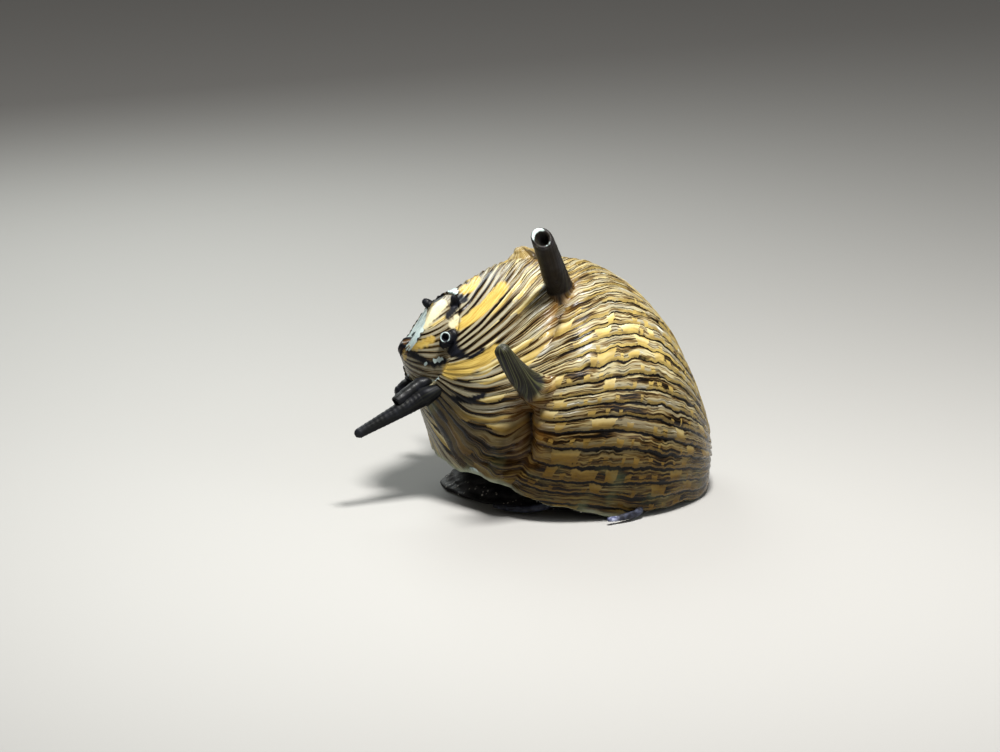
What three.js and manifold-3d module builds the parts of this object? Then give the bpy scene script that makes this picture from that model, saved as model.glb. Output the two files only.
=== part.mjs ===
// Horned nerite snail, life size, crawling with its head under the front lip.
// Millimetres, +Z up. The origin is the middle of the flat sole, on the floor.
// The animal faces -Y. The apex of the shell points to -X, as on any right-handed shell
// whose owner faces -Y.

import * as THREE from "three";
import { mergeVertices } from "three/addons/utils/BufferGeometryUtils.js";
import Module from "manifold-3d";

// Coiling. Every whorl is the last one turned about the axis and shrunk towards the pole.
const SPIRAL_POLE = new THREE.Vector3(-11.4, -0.5, 12.8);
const AXIS_TILT = 26.6;            // degrees, apex above level
const AXIS_TURN = 14.5;            // degrees, apex swung towards the head
const WHORL_GROWTH = 2.43;         // size after one whole turn

// Whorl profile beside the axis: x is the distance from the pole, y the radius, at turn 0.
const SUTURE = [-2.42, 3.07];
const SHOULDER = [-9.12, 8.79];
const BASE_END = [-19.16, 0];
const RAMP_HANDLES = [[-4.15, 4.5], [-5.9, 8.15]];
const DOME_HANDLES = [[-14.58, 9.51], [-18.61, 7.31]];

// Behind the mouth: the turns over which the callus closes the whorl onto the older one.
const CALLUS_FROM = 140;
const CALLUS_TO = 275;
const BASE_SIZE = 1.285;           // size that all turns share at the base, so they meet there
const BASE_FROM = 0.62;            // row from which they grow towards it
const BASE_BACK = 0.47;            // how much sooner they do at the back
const BASE_SWELL = 0.05;           // share of that growth that the radius takes
const BASE_SWELL_BACK = 0.5;       // the same at the back
const BASE_FLARE = 0.1;            // widening of the base at the lip
const FLARE_TURNS = [55, 95];      // turns over which the widening starts
const FLARE_FADE_FROM = 150;       // turn from which it fades again
const FLARE_ROWS = [0.68, 0.92];   // rows over which it builds up
const BASE_LEAN = 0.16;            // slope by which the base leans towards the lip
const BASE_LEAN_TURN = 169;        // turn at which it leans furthest out
const LEAN_ROWS = [0.66, 0.87];    // rows over which it comes in

// The older whorls lean out along the axis on one side, and are worn off to a slanting plane.
const SPIRE_LEAN = 1.3;
const SPIRE_LEAN_TURN = 150;       // turn at which they lean most
const SPIRE_CORE = 1.5;            // radius within which they lean in full
const SPIRE_REACH = 3.8;           // radius at which they no longer do
const SPIRE_REACH_BELOW = 4.2;     // how much further that is on the lower side
const SPIRE_DROP = 1.1;
const SPIRE_DROP_REACH = 2;        // radius from which the whorls keep their height
const SPIRE_ENDS = [-12, -5];      // distances down the axis over which both fade in
const WEAR_WAY = [-0.84, 0, 0.54];
const WEAR_DEPTH = 15.35;          // distance of the worn plane from the origin

// The edge of the shell above the floor, as x and height: level on the right, rising to the left.
const BLOCK_REACH = 16;            // half size of the block that trims the edge
const EDGE_LINE = [[BLOCK_REACH, 0.45], [2.5, 0.45], [-6, 2.75], [-BLOCK_REACH, 2.9]];

// The worn apex, a small dome below the pole, and the turns of the older whorls.
const APEX_RADIUS = 0.85;
const APEX_SINK = 1.4;
const APEX_DROP = 1.85;
const OUTER_TURNS = [-400, -165];
const INNER_TURNS = [-610, -390];

// Horn row on the shoulder: the newest horn and the step back to each older one.
const HORN_ROW = 0.28;
const HORN_TURN = 89.2;
const HORN_STEP = 53.4;
const HORN_SINK = 0.9;
const KNOB_SINK = 0.6;

// Furrow that runs with the horn row.
const FURROW_ROW = 0.33;
const FURROW_WIDTH = 0.035;
const FURROW_DEPTH = 0.35;

// Foot: an egg-shaped sole, wider than long, and the mound above it. Head: its middle and size.
const FOOT = { x: 0.6, y: 2.1, left: 9.4, right: 8.6, front: 7.6, back: 5.3, height: 3.2 };
const HEAD = { x: 2.0, y: -5.3, width: 4.6, length: 4.2, height: 2.1, floor: 0.25 };
const EYE_RADIUS = 0.28;
const GAP = 0.3;                   // between neighbouring pieces
const SMALL_GAP = 0.15;            // between an eye and its socket
const EYE_ROOM = 0.6;              // round an eye, below the shell
const LAP = 0.06;                  // how far a stretch of whorl lies under the next

const wasm = await Module();
wasm.setup();

const degrees = THREE.MathUtils.degToRad;
const vec = (x, y, z) => new THREE.Vector3(x, y, z);

// The axis frame: along points to the apex, near to the head side, above upwards.
const along = vec(
  -Math.cos(degrees(AXIS_TILT)) * Math.cos(degrees(AXIS_TURN)),
  -Math.cos(degrees(AXIS_TILT)) * Math.sin(degrees(AXIS_TURN)),
  Math.sin(degrees(AXIS_TILT)),
);
const near = vec(Math.sin(degrees(AXIS_TURN)), -Math.cos(degrees(AXIS_TURN)), 0);
const above = vec(0, 0, 0).crossVectors(along, near);
const growthRate = Math.log(WHORL_GROWTH) / (2 * Math.PI);

// Profile as one path of two arcs, read by its share of the length from suture to base.
const point2 = ([x, y]) => new THREE.Vector2(x, y);
const profile = new THREE.CurvePath();
profile.add(new THREE.CubicBezierCurve(
  point2(SUTURE), point2(RAMP_HANDLES[0]), point2(RAMP_HANDLES[1]), point2(SHOULDER)));
profile.add(new THREE.CubicBezierCurve(
  point2(SHOULDER), point2(DOME_HANDLES[0]), point2(DOME_HANDLES[1]), point2(BASE_END)));

// Size of the whorl at a turn. Behind the mouth it closes smoothly onto the older whorl.
function whorlScale(turn) {
  const closed = THREE.MathUtils.smoothstep(turn, CALLUS_FROM, CALLUS_TO);
  return Math.exp(growthRate * degrees(turn) - closed * Math.log(WHORL_GROWTH));
}

// A point beside the axis, at a distance down from the pole, a radius and a turn.
function axisPoint(down, radius, turn) {
  const shown = THREE.MathUtils.smoothstep(down, ...SPIRE_ENDS);
  const below = Math.max(0, -Math.cos(degrees(turn))) ** 2;
  const reach = SPIRE_REACH + SPIRE_REACH_BELOW * below;
  const away = THREE.MathUtils.smoothstep(radius, 0, SPIRE_CORE);
  const side = (1 + away * Math.cos(degrees(turn - SPIRE_LEAN_TURN))) / 2;
  const lean = SPIRE_LEAN * side * shown * (1 - THREE.MathUtils.smoothstep(radius, SPIRE_CORE, reach));
  const drop = SPIRE_DROP * shown * (1 - THREE.MathUtils.smoothstep(radius, 0, SPIRE_DROP_REACH));
  return SPIRAL_POLE.clone()
    .addScaledVector(along, down + lean)
    .addScaledVector(above, radius * Math.cos(degrees(turn)) - drop)
    .addScaledVector(near, radius * Math.sin(degrees(turn)));
}

// Profile point and its outward normal at a row, with the furrow pressed in.
function profileAt(row) {
  const spot = profile.getPointAt(row);
  const ahead = profile.getPointAt(Math.min(row + 0.01, 1));
  const behind = profile.getPointAt(Math.max(row - 0.01, 0));
  const way = ahead.sub(behind).normalize();
  const normal = new THREE.Vector2(way.y, -way.x);
  const furrow = FURROW_DEPTH * Math.exp(-(((row - FURROW_ROW) / FURROW_WIDTH) ** 2));
  return { spot: spot.addScaledVector(normal, -furrow), normal };
}

// Closed mesh through rings of equal count, with a fan at each end.
function loft(rings) {
  const count = rings[0].length;
  const positions = [];
  const faces = [];
  for (const ring of rings) {
    for (const spot of ring) positions.push(spot.x, spot.y, spot.z);
  }
  for (let i = 0; i + 1 < rings.length; i += 1) {
    for (let j = 0; j < count; j += 1) {
      const a = i * count + j;
      const b = i * count + ((j + 1) % count);
      faces.push(a, b, b + count, a, b + count, a + count);
    }
  }
  const ends = [[rings[0], 0, false], [rings[rings.length - 1], (rings.length - 1) * count, true]];
  for (const [ring, first, flip] of ends) {
    const middle = ring.reduce((sum, spot) => sum.add(spot), vec(0, 0, 0)).divideScalar(count);
    const hub = positions.length / 3;
    positions.push(middle.x, middle.y, middle.z);
    for (let j = 0; j < count; j += 1) {
      const a = first + j;
      const b = first + ((j + 1) % count);
      if (flip) faces.push(a, b, hub);
      else faces.push(b, a, hub);
    }
  }
  const geometry = new THREE.BufferGeometry();
  geometry.setAttribute("position", new THREE.Float32BufferAttribute(positions, 3));
  geometry.setIndex(faces);
  return geometry;
}

// Solid from a closed geometry, whichever way its faces were wound.
function solid(geometry, tolerance = 1e-4) {
  const bare = geometry.clone();
  bare.deleteAttribute("normal");
  bare.deleteAttribute("uv");
  const merged = mergeVertices(bare, tolerance);
  const index = merged.index.array;
  const kept = [];
  for (let i = 0; i < index.length; i += 3) {
    const [a, b, c] = [index[i], index[i + 1], index[i + 2]];
    if (a !== b && b !== c && c !== a) kept.push(a, b, c);
  }
  const build = (triangles) => new wasm.Manifold(new wasm.Mesh({
    numProp: 3,
    vertProperties: Float32Array.from(merged.attributes.position.array),
    triVerts: Uint32Array.from(triangles),
  }));
  const shape = build(kept);
  if (shape.volume() > 0) return shape;
  const turned = [];
  for (let i = 0; i < kept.length; i += 3) turned.push(kept[i], kept[i + 2], kept[i + 1]);
  return build(turned);
}

const join = (shapes) => shapes.reduce((sum, shape) => sum.add(shape));
const cut = (shape, tools) => tools.reduce((rest, tool) => rest.subtract(tool), shape);

function largest(shape) {
  const pieces = shape.decompose();
  return pieces.reduce((best, piece) => (piece.volume() > best.volume() ? piece : best));
}

// Spot on the last whorl at a row and a turn, and the way straight out of the shell there.
function whorlSpot(row, turn) {
  const scale = whorlScale(turn);
  const { spot, normal } = profileAt(row);
  const behind = Math.max(0, -Math.sin(degrees(turn)));
  const gather = THREE.MathUtils.smoothstep(row, BASE_FROM - BASE_BACK * behind, 1);
  const swell = THREE.MathUtils.lerp(BASE_SWELL, BASE_SWELL_BACK, behind);
  const faded = THREE.MathUtils.smoothstep(turn, FLARE_FADE_FROM, CALLUS_TO);
  const atLip = THREE.MathUtils.smoothstep(turn, ...FLARE_TURNS) - faded;
  const flare = 1 + BASE_FLARE * atLip * THREE.MathUtils.smoothstep(row, ...FLARE_ROWS);
  const radius = spot.y * flare * THREE.MathUtils.lerp(scale, BASE_SIZE, gather * swell);
  const slope = BASE_LEAN * Math.cos(degrees(turn - BASE_LEAN_TURN));
  const lean = radius * slope * THREE.MathUtils.smoothstep(row, ...LEAN_ROWS);
  const down = spot.x * THREE.MathUtils.lerp(scale, BASE_SIZE, gather) - lean;
  const root = axisPoint(down, Math.max(radius, 0), turn);
  const out = axisPoint(down + normal.x, radius + normal.y, turn).sub(root).normalize();
  return { root, out };
}

// The last whorl, closed all round its axis, with the callus behind the mouth.
// Row 0 is the suture, where the older whorls stand on it.
function bodyWhorl(clearance = 0) {
  const sides = 60;
  const rows = 34;
  const firstTurn = CALLUS_TO - 360;
  const rings = [];
  for (let i = 0; i <= rows; i += 1) {
    const row = i / rows;
    const ring = [];
    for (let j = 0; j < sides; j += 1) {
      const turn = firstTurn + (360 * j) / sides;
      const { root, out } = whorlSpot(Math.min(row, 0.995), turn);
      ring.push(root.addScaledVector(out, clearance));
    }
    rings.push(ring);
  }
  return solid(loft(rings));
}

// An older whorl between two turns, filled to its axis.
function oldWhorl({ turns: [from, to], steps, rows, clearance = 0 }) {
  const coreRadius = 0.1;
  const coreSteps = 3;
  const lastRow = 0.6;
  const rings = [];
  for (let i = 0; i <= steps; i += 1) {
    const turn = THREE.MathUtils.lerp(from, to, i / steps);
    const scale = Math.exp(growthRate * degrees(turn));
    const ring = [];
    for (let j = 0; j <= rows; j += 1) {
      const { spot, normal } = profileAt((lastRow * j) / rows);
      const lift = j === 0 ? 1 : normal.x;
      ring.push(axisPoint(spot.x * scale + clearance * lift,
        spot.y * scale + clearance * normal.y, turn));
    }
    const low = profileAt(lastRow).spot.x * scale;
    for (let j = 0; j <= coreSteps; j += 1) {
      const high = SUTURE[0] * scale + clearance;
      ring.push(axisPoint(THREE.MathUtils.lerp(low, high, j / coreSteps), coreRadius, turn));
    }
    rings.push(ring);
  }
  return solid(loft(rings));
}

function ellipsoid(centre, size, { turn = 0, sides = 24 } = {}) {
  const ball = new THREE.SphereGeometry(1, sides, Math.round(sides * 0.6));
  ball.scale(size.x, size.y, size.z);
  ball.rotateZ(degrees(turn));
  ball.translate(centre.x, centre.y, centre.z);
  return solid(ball);
}

// Everything below the edge of the shell.
function belowEdge() {
  const bottom = -5;
  const outline = new THREE.Shape();
  outline.moveTo(-BLOCK_REACH, bottom);
  outline.lineTo(BLOCK_REACH, bottom);
  for (const [x, height] of EDGE_LINE) outline.lineTo(x, height);
  outline.closePath();
  const block = new THREE.ExtrudeGeometry(outline, { depth: 2 * BLOCK_REACH, bevelEnabled: false });
  block.rotateX(Math.PI / 2);
  block.translate(0, BLOCK_REACH, 0);
  return solid(block);
}

function oldWhorls(clearance = 0) {
  const outer = oldWhorl({ turns: OUTER_TURNS, steps: 30, rows: 14, clearance });
  const inner = oldWhorl({ turns: INNER_TURNS, steps: 24, rows: 10, clearance: clearance - LAP });
  const tip = SPIRAL_POLE.clone().addScaledVector(along, -APEX_SINK).addScaledVector(above, -APEX_DROP);
  const apex = ellipsoid(tip, vec(APEX_RADIUS, APEX_RADIUS, APEX_RADIUS), { sides: 14 });
  const inwards = WEAR_WAY.map((part) => -part);
  const worn = join([outer, inner]).trimByPlane(inwards, -WEAR_DEPTH - clearance);
  return join([worn, apex]);
}

// Round tapered piece along a bent line, with a radius for each knot of the line.
function taper(knots, radii, { sides = 10, steps = 10, grow = 0 } = {}) {
  const line = new THREE.CatmullRomCurve3(knots);
  const frames = line.computeFrenetFrames(steps, false);
  const rings = [];
  for (let i = 0; i <= steps; i += 1) {
    const share = (i / steps) * (radii.length - 1);
    const low = Math.min(Math.floor(share), radii.length - 2);
    const radius = THREE.MathUtils.lerp(radii[low], radii[low + 1], share - low) + grow;
    const middle = line.getPointAt(i / steps);
    const ring = [];
    for (let j = 0; j < sides; j += 1) {
      const angle = (2 * Math.PI * j) / sides;
      ring.push(middle.clone()
        .addScaledVector(frames.normals[i], radius * Math.cos(angle))
        .addScaledVector(frames.binormals[i], radius * Math.sin(angle)));
    }
    rings.push(ring);
  }
  return solid(loft(rings));
}

// Root of a horn on the older whorls, where the turns run on without a callus.
function oldSpot(row, turn) {
  const scale = Math.exp(growthRate * degrees(turn));
  const { spot, normal } = profileAt(row);
  const root = axisPoint(spot.x * scale, spot.y * scale, turn);
  const out = axisPoint(spot.x * scale + normal.x, spot.y * scale + normal.y, turn);
  return { root, out: out.sub(root).normalize() };
}

// A horn: sunk root, flared foot, a bend towards its tip and, where worn open, a hollow end.
function horn({ turn, row = HORN_ROW, old = false, hollow = 0, ...form }, grow = 0) {
  const { way, bend, length, width, tipWidth } = form;
  const { root, out } = old ? oldSpot(row, turn) : whorlSpot(row, turn);
  const lean = vec(...way).normalize();
  const drift = vec(...bend);
  const start = root.clone().addScaledVector(out, -HORN_SINK);
  const middle = root.clone().addScaledVector(lean, length * 0.5);
  const tip = root.clone().addScaledVector(lean, length).add(drift);
  const foot = root.clone().addScaledVector(lean, 0.25);
  const shape = taper(
    [start, foot, middle, tip],
    [width * 0.75, width * 0.5, (width + tipWidth) * 0.26, tipWidth * 0.5],
    { sides: 12, steps: 12, grow },
  );
  if (!hollow || grow) return shape;
  const end = tip.clone().sub(middle).normalize();
  const bore = taper(
    [tip.clone().addScaledVector(end, -hollow), tip.clone().addScaledVector(end, 0.4)],
    [tipWidth * 0.2, tipWidth * 0.36],
    { sides: 10, steps: 2 },
  );
  return shape.subtract(bore);
}

const HORNS = {
  horn_mid: {
    turn: HORN_TURN, row: 0.245, way: [-0.46, -0.5, 0.68], bend: [-0.25, 0, 0.3],
    length: 4.9, width: 2.0, tipWidth: 1.2,
  },
  horn_top: {
    turn: HORN_TURN - HORN_STEP, way: [-0.24, -0.42, 0.87], bend: [-0.1, -0.5, 0],
    length: 5.4, width: 2.0, tipWidth: 1.45, hollow: 0.9,
  },
  horn_crest: {
    turn: HORN_TURN - 2 * HORN_STEP, way: [-0.3, 0.1, 0.9], bend: [0, 0, 0],
    length: 1.1, width: 2.4, tipWidth: 1.6, hollow: 0.35,
  },
  horn_back_upper: {
    turn: HORN_TURN - 3 * HORN_STEP, way: [-0.25, 0.95, -0.15], bend: [-0.2, 0, 0.1],
    length: 3.6, width: 1.7, tipWidth: 0.9,
  },
  horn_back_lower: {
    turn: 360 + HORN_TURN - 4 * HORN_STEP, way: [-0.62, 0.75, -0.2], bend: [-0.2, 0, -0.1],
    length: 2.6, width: 1.4, tipWidth: 0.9, hollow: 0.5,
  },
};

const OLD_HORNS = {
  horn_left_long: {
    turn: -219, row: 0.255, old: true, way: [-0.84, -0.34, -0.42],
    bend: [-0.15, 0, 0], length: 6.2, width: 1.4, tipWidth: 0.75,
  },
  horn_left_short: {
    turn: -215, row: 0.2, old: true, way: [-0.78, -0.5, -0.42], bend: [0, -0.1, -0.1],
    length: 2.6, width: 0.9, tipWidth: 0.75, hollow: 0.5,
  },
};

// Worn knobs of the oldest horns, each part of the spire.
const KNOBS = [
  { turn: -276, row: 0.18, length: 0.8, width: 1.1, tip: 0.8 },
  { turn: -394, row: 0.1, length: 0.35, width: 0.8, tip: 0.6 },
  { turn: -210, row: 0.025, length: 0.6, width: 0.8, tip: 0.55 },
  { turn: -184, row: 0.19, length: 1.1, width: 1.9, tip: 1.2 },
  { turn: -330, row: 0.2, length: 0.45, width: 0.7, tip: 0.45 },
];

function knob({ turn, row, length, width, tip }) {
  const { root, out } = oldSpot(row, turn);
  return taper(
    [root.clone().addScaledVector(out, -KNOB_SINK), root.clone().addScaledVector(out, length)],
    [width * 0.5, tip * 0.5],
    { sides: 8, steps: 3 },
  );
}

// Outline of the foot at a share of its size: an egg with a quarter for each side.
function footRing(share, height, grow = 0) {
  const ring = [];
  const sides = 44;
  for (let i = 0; i < sides; i += 1) {
    const angle = (2 * Math.PI * i) / sides;
    const [c, s] = [Math.cos(angle), Math.sin(angle)];
    const wide = (c < 0 ? FOOT.left : FOOT.right) * share + grow;
    const deep = (s < 0 ? FOOT.front : FOOT.back) * share + grow;
    ring.push(vec(FOOT.x + wide * c, FOOT.y + deep * s, height));
  }
  return ring;
}

function footSolid(grow = 0) {
  const bottom = grow ? -1 : 0;
  const top = FOOT.height;
  return solid(loft([
    footRing(0.975, bottom, grow),
    footRing(1, 0.16, grow),
    footRing(0.99, 0.34 + grow, grow),
    footRing(0.9, 0.8 + grow, grow),
    footRing(0.8, 1.5 + grow, grow),
    footRing(0.68, top * 0.78 + grow, grow),
    footRing(0.5, top + grow, grow),
  ]));
}

// Head and blunt snout, flattened against the floor, from the neck forwards.
function headSolid(grow = 0) {
  const stations = [
    { share: 0, wide: 0.62, tall: 0.8 },
    { share: 0.25, wide: 0.8, tall: 1 },
    { share: 0.5, wide: 0.92, tall: 0.98 },
    { share: 0.72, wide: 1, tall: 0.8 },
    { share: 0.9, wide: 0.86, tall: 0.6 },
    { share: 1, wide: 0.6, tall: 0.34 },
  ];
  const sides = 20;
  const rings = stations.map(({ share, wide, tall }) => {
    const ring = [];
    const y = HEAD.y + HEAD.length / 2 - share * HEAD.length;
    const pushed = y + (share === 0 ? grow : 0) - (share === 1 ? grow : 0);
    for (let i = 0; i < sides; i += 1) {
      const angle = (2 * Math.PI * i) / sides;
      const half = (HEAD.height * tall) / 2;
      const x = HEAD.x + ((HEAD.width * wide) / 2 + grow) * Math.cos(angle);
      ring.push(vec(x, pushed, HEAD.floor + half + (half + grow) * Math.sin(angle)));
    }
    return ring;
  });
  return solid(loft(rings));
}

const TENTACLES = {
  tentacle_left: {
    line: [[3.2, -6.0, 1.25], [4.8, -6.3, 0.95], [5.1, -7.1, 0.5], [4.1, -8.1, 0.4], [2.9, -9.0, 0.35]],
    radii: [0.36, 0.33, 0.3, 0.27, 0.2],
  },
  tentacle_right: {
    line: [[0.8, -6.0, 1.25], [-0.8, -6.4, 0.95], [-2.4, -6.5, 0.5], [-3.9, -6.0, 0.4], [-5.2, -5.2, 0.35]],
    radii: [0.36, 0.33, 0.3, 0.25, 0.18],
  },
};

const EYES = {
  eye_left: vec(4.25, -4.7, 1.75),
  eye_right: vec(-0.25, -4.7, 1.75),
};

function tentacle({ line, radii }, grow = 0) {
  return taper(line.map((spot) => vec(...spot)), radii, { sides: 8, steps: 14, grow });
}

// Short stalk that carries an eye, leaning outwards from the side of the head.
function eyeStalk(eye) {
  const inward = vec(HEAD.x - eye.x, -0.4, -1.1).normalize();
  return taper([eye.clone().addScaledVector(inward, 1.2), eye.clone()], [0.55, 0.42], { steps: 3 });
}

function eyeBall(centre, grow = 0) {
  const radius = EYE_RADIUS + grow;
  return ellipsoid(centre, vec(radius, radius, radius), { sides: 12 });
}

const COLOURS = {
  shell: [0xa88a3c, 0.35],
  spire: [0x6f6248, 0.35],
  horn: [0x15181c, 0.28],
  flesh: [0x1d1c22, 0.55],
  tentacle: [0x4a5578, 0.45],
  eye: [0x060607, 0.15],
};

const snail = new THREE.Group();

function geometryOf(shape) {
  const { vertProperties, triVerts } = largest(shape).getMesh();
  const geometry = new THREE.BufferGeometry();
  geometry.setAttribute("position", new THREE.Float32BufferAttribute(vertProperties, 3));
  geometry.setIndex(Array.from(triVerts));
  return geometry;
}

function addPiece(name, shape, finish) {
  const slivers = 2e-3;
  const geometry = geometryOf(solid(geometryOf(shape), slivers));
  geometry.computeVertexNormals();
  const [color, roughness] = COLOURS[finish];
  const material = new THREE.MeshStandardMaterial({ color, roughness, metalness: 0 });
  const mesh = new THREE.Mesh(geometry, material);
  mesh.name = name;
  snail.add(mesh);
}

// Flesh first, because the shell is hollowed to take it.
const foot = footSolid();
const head = cut(join([headSolid(), ...Object.values(EYES).map(eyeStalk)]),
  [footSolid(GAP), ...Object.values(EYES).map((eye) => eyeBall(eye, SMALL_GAP))]);
const headRoom = join([headSolid(GAP), ...Object.values(EYES).map((eye) => eyeBall(eye, EYE_ROOM))]);
const fleshRoom = [footSolid(GAP), headRoom];

addPiece("foot", foot, "flesh");
addPiece("head", head, "flesh");
for (const [name, shape] of Object.entries(TENTACLES)) {
  addPiece(name, cut(tentacle(shape), [headSolid(GAP), footSolid(GAP)]), "tentacle");
  fleshRoom.push(tentacle(shape, GAP));
}
for (const [name, centre] of Object.entries(EYES)) addPiece(name, eyeBall(centre), "eye");

const bodyRoom = bodyWhorl(GAP);
const spireRoom = oldWhorls(GAP);
addPiece("shell_body_whorl", cut(bodyWhorl(), [belowEdge(), ...fleshRoom]), "shell");
addPiece("shell_spire", cut(join([oldWhorls(), ...KNOBS.map(knob)]), [bodyRoom]), "spire");
for (const [name, shape] of Object.entries(HORNS)) addPiece(name, cut(horn(shape), [bodyRoom]), "horn");
const hornRoom = horn(OLD_HORNS.horn_left_long, GAP);
addPiece("horn_left_long", cut(horn(OLD_HORNS.horn_left_long), [bodyRoom, spireRoom]), "horn");
addPiece("horn_left_short", cut(horn(OLD_HORNS.horn_left_short), [bodyRoom, spireRoom, hornRoom]), "horn");

export default snail;
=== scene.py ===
import math
import bmesh
import bpy
import numpy as np
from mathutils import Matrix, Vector


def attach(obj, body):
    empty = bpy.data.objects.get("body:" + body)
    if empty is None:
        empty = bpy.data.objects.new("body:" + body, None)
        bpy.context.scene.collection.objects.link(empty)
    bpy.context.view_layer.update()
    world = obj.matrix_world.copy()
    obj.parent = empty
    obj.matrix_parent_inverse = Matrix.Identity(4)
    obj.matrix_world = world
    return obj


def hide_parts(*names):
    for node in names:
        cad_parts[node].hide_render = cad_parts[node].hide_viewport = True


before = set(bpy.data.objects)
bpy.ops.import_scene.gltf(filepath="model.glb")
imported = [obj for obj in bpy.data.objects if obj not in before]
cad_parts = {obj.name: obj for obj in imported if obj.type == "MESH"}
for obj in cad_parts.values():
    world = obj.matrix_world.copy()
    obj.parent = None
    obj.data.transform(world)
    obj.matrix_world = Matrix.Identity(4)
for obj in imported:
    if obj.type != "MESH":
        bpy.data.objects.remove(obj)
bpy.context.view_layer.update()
mm = 0.001          # lengths below are in millimetres, meshes in metres

# The coil, as in the solids.
coil = {
    "pole": (-11.4, -0.5, 12.8),
    "tilt": 26.6,
    "swing": 14.5,
    "growth": 2.43,             # size after one whole turn
    "ramp": ((-2.42, 3.07), (-4.15, 4.5), (-5.9, 8.15), (-9.12, 8.79)),
    "dome": ((-9.12, 8.79), (-14.58, 9.51), (-18.61, 7.31), (-19.16, 0.0)),
    "closeFrom": 140,
    "closeTo": 275,
    "baseSize": 1.285,
    "baseFrom": 0.62,
    "baseBack": 0.47,
    "baseSwell": 0.05,
    "baseSwellBack": 0.5,
    "flare": 0.1,
    "lean": 0.16,
    "leanTurn": 169,
    "furrowRow": 0.285,
    "furrowShift": 0.055,       # how much nearer the suture it runs at the newest horn
    "furrowDrift": ((-120, -55, 1.0), (-50, -22, -0.75)),   # growth from and to, share of that shift
    "valley": (0.22, 0.045),    # depth and width
    "crease": (0.5, 0.013),
    "dip": (0.6, -126, 14, 0.34, 0.05),         # behind the newest horn but one: depth, growth, row
    "lumps": (0.5, -40, -25, -0.02, 0.045),     # below the newest horn: height, growth, place, width
    "edgeTurn": 110,            # turn that the growing edge has reached at the base
    "edgeLead": 125,            # how far old growth lines lead at the suture
    "edgeKink": 0.6,            # share of that lost across the furrow
    "lipLead": 83,              # the same at the growing edge
    "lipTop": 0.65,
    "edgeFall": 0.24,
    "hornRow": 0.28,
    "hornTurn": 89.2,
    "hornStep": 53.4,
    "ribStep": 5.4,             # degrees of growth from one rib to the next
    "ribClimb": ((3.5, 0.06), (4.0, 0.016)),    # degrees at the furrow, and how far beside it
}

tilt, swing = math.radians(coil["tilt"]), math.radians(coil["swing"])
along = np.array([-math.cos(tilt) * math.cos(swing), -math.cos(tilt) * math.sin(swing), math.sin(tilt)])
near = np.array([math.sin(swing), -math.cos(swing), 0.0])
above = np.cross(along, near)
pole = np.array(coil["pole"])
growthRate = math.log(coil["growth"]) / (2 * math.pi)


def smooth(low, high, value):
    share = np.clip((value - low) / (high - low), 0.0, 1.0)
    return share * share * (3.0 - 2.0 * share)


def unit(way):
    way = np.array(way, float)
    return way / np.linalg.norm(way, axis=-1, keepdims=True)


def circle(count):
    return np.linspace(0, 2 * math.pi, count, endpoint=False)


def bell(away, reach):
    return np.exp(-(away / reach) ** 2)


def bezier(points, share):
    a, b, c, d = (np.array(p) for p in points)
    t = share[:, None]
    return (1 - t) ** 3 * a + 3 * (1 - t) ** 2 * t * b + 3 * (1 - t) * t * t * c + t ** 3 * d


# Value noise on a lattice, from 0 to 1.
lattice = np.random.RandomState(7).rand(64, 64)


def grain(x, y):
    xi, yi = np.floor(x).astype(int), np.floor(y).astype(int)
    fx, fy = x - xi, y - yi
    fx, fy = fx * fx * (3 - 2 * fx), fy * fy * (3 - 2 * fy)
    a, b = lattice[xi % 64, yi % 64], lattice[(xi + 1) % 64, yi % 64]
    c, d = lattice[xi % 64, (yi + 1) % 64], lattice[(xi + 1) % 64, (yi + 1) % 64]
    return (a * (1 - fx) + b * fx) * (1 - fy) + (c * (1 - fx) + d * fx) * fy


steps = np.linspace(0, 1, 400)
profile = np.vstack([bezier(coil["ramp"], steps), bezier(coil["dome"], steps)[1:]])
profileShare = np.append(0, np.cumsum(np.linalg.norm(np.diff(profile, axis=0), axis=1)))
profileShare /= profileShare[-1]


def profileAt(row):
    # Place on the profile and the way out from it.
    (x, y), ahead, behind = ([np.interp(share, profileShare, profile[:, i]) for i in (0, 1)]
                             for share in (row, np.minimum(row + 0.01, 1), np.maximum(row - 0.01, 0)))
    wayX, wayY = ahead[0] - behind[0], ahead[1] - behind[1]
    size = np.hypot(wayX, wayY)
    return x, y, wayY / size, -wayX / size


# The older whorls lean out on one side and are worn off to a slanting plane.
worn = {
    "lean": 1.3, "leanTurn": 150, "core": 1.5, "reach": 3.8, "reachBelow": 4.2,
    "drop": 1.1, "dropReach": 2.0, "ends": (-12, -5),
    "way": (-0.84, 0.0, 0.54), "depth": 15.28,
}


def axisPoint(down, radius, turn):
    angle = np.radians(turn)
    shown = smooth(*worn["ends"], down)
    reach = worn["reach"] + worn["reachBelow"] * np.maximum(0, -np.cos(angle)) ** 2
    side = (1 + smooth(0, worn["core"], radius) * np.cos(np.radians(turn - worn["leanTurn"]))) / 2
    lean = worn["lean"] * side * shown * (1 - smooth(worn["core"], reach, radius))
    drop = worn["drop"] * shown * (1 - smooth(0, worn["dropReach"], radius))
    spot = pole + along * (down + lean)[..., None] + above * (radius * np.cos(angle) - drop)[..., None]
    spot = spot + near * (radius * np.sin(angle))[..., None]
    way = unit(worn["way"])
    over = np.maximum(0, spot @ way - worn["depth"])
    pits = 0.12 * (grain(spot[..., 1] * 1.3 + 20, spot[..., 2] * 1.3) - 0.5)
    return spot - way * ((over - pits * smooth(0, 0.5, over)) * 0.93)[..., None]


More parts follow.
